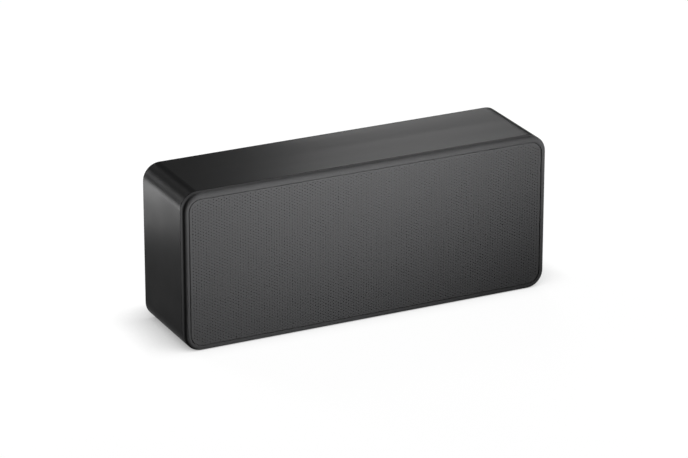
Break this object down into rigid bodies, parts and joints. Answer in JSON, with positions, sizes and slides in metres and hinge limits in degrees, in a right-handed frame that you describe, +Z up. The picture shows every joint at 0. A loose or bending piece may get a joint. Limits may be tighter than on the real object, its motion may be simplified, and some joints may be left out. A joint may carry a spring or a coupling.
{
  "type": "wall speaker",
  "caption": "Long black wall speaker with rounded corners, a perforated front in a slim frame, woofers and a tweeter inside, and keyholes and terminals at the back.",
  "frame": {"origin": "centre of the bottom, midway between the front plane and the rear edge", "axes": "+X to the right along the width seen from the front, +Y back towards the wall, +Z up"},
  "size_m": [0.4, 0.1, 0.165],
  "materials": {
    "cabinet_paint": "satin black paint on cast aluminium",
    "frame_paint": "matte dark grey paint",
    "grille_paint": "dark grey powder coat on perforated steel",
    "scrim_cloth": "black acoustic cloth",
    "bright_steel": "zinc plated steel",
    "black_screw": "black zinc",
    "baffle_plastic": "moulded black",
    "panel_plastic": "moulded black, fine grain",
    "cup_plastic": "moulded black",
    "driver_plastic": "moulded black",
    "seal_foam": "closed-cell foam",
    "basket_paint": "black paint on pressed steel",
    "surround_rubber": "soft rubber",
    "cone_pulp": "coated paper pulp",
    "spider_cloth": "resin-stiffened cotton",
    "dome_cloth": "coated silk",
    "copper_wire": "enamelled copper",
    "ferrite": "sintered ferrite",
    "insert_brass": "turned brass",
    "terminal_red": "red moulded cap",
    "terminal_black": "black moulded cap",
    "board_laminate": "fibre laminate",
    "capacitor_sleeve": "film capacitor",
    "resistor_block": "cement resistor",
    "damping_felt": "wool felt"
  },
  "bodies": {
    "cabinet": {"cabinet_sleeve": "cabinet_paint", "front_frame": "frame_paint", "grille_sheet": "grille_paint", "grille_scrim": "scrim_cloth", "grille_magnets": "bright_steel", "grille_strikes": "bright_steel", "baffle": "baffle_plastic", "baffle_seal": "seal_foam", "baffle_screws": "black_screw", "woofer_screws": "black_screw", "tweeter_plate": "driver_plastic", "tweeter_seal": "seal_foam", "tweeter_dome": "dome_cloth", "tweeter_coil": "copper_wire", "tweeter_top_plate": "bright_steel", "tweeter_magnet": "ferrite", "tweeter_yoke": "bright_steel", "tweeter_screws": "black_screw", "rear_panel": "panel_plastic", "rear_seal": "seal_foam", "rear_screws": "black_screw", "bracket_inserts": "insert_brass", "keyhole_plates": "bright_steel", "keyhole_screws": "black_screw", "terminal_cup": "cup_plastic", "terminal_screws": "black_screw", "terminal_red": "terminal_red", "terminal_black": "terminal_black", "terminal_nuts": "insert_brass", "crossover_board": "board_laminate", "board_screws": "bright_steel", "crossover_coils": "copper_wire", "crossover_capacitors": "capacitor_sleeve", "crossover_resistors": "resistor_block", "damping_pad_left": "damping_felt", "damping_pad_right": "damping_felt", "woofer_left_basket": "basket_paint", "woofer_left_seal": "seal_foam", "woofer_left_surround": "surround_rubber", "woofer_left_spider": "spider_cloth", "woofer_left_top_plate": "bright_steel", "woofer_left_magnet": "ferrite", "woofer_left_yoke": "bright_steel", "woofer_right_basket": "basket_paint", "woofer_right_seal": "seal_foam", "woofer_right_surround": "surround_rubber", "woofer_right_spider": "spider_cloth", "woofer_right_top_plate": "bright_steel", "woofer_right_magnet": "ferrite", "woofer_right_yoke": "bright_steel"},
    "woofer_left_moving": {"woofer_left_cone": "cone_pulp", "woofer_left_dust_cap": "cone_pulp", "woofer_left_voice_coil": "copper_wire"},
    "woofer_right_moving": {"woofer_right_cone": "cone_pulp", "woofer_right_dust_cap": "cone_pulp", "woofer_right_voice_coil": "copper_wire"}
  },
  "joints": [
    {"name": "woofer_left_stroke", "type": "slide", "parent": "cabinet", "child": "woofer_left_moving", "axis": [0, -1, 0], "range_m": [-0.004, 0.004], "stiffness_N_per_m": 1100, "deforming": ["woofer_left_surround", "woofer_left_spider"]},
    {"name": "woofer_right_stroke", "type": "slide", "parent": "cabinet", "child": "woofer_right_moving", "axis": [0, -1, 0], "range_m": [-0.004, 0.004], "stiffness_N_per_m": 1100, "deforming": ["woofer_right_surround", "woofer_right_spider"]}
  ]
}
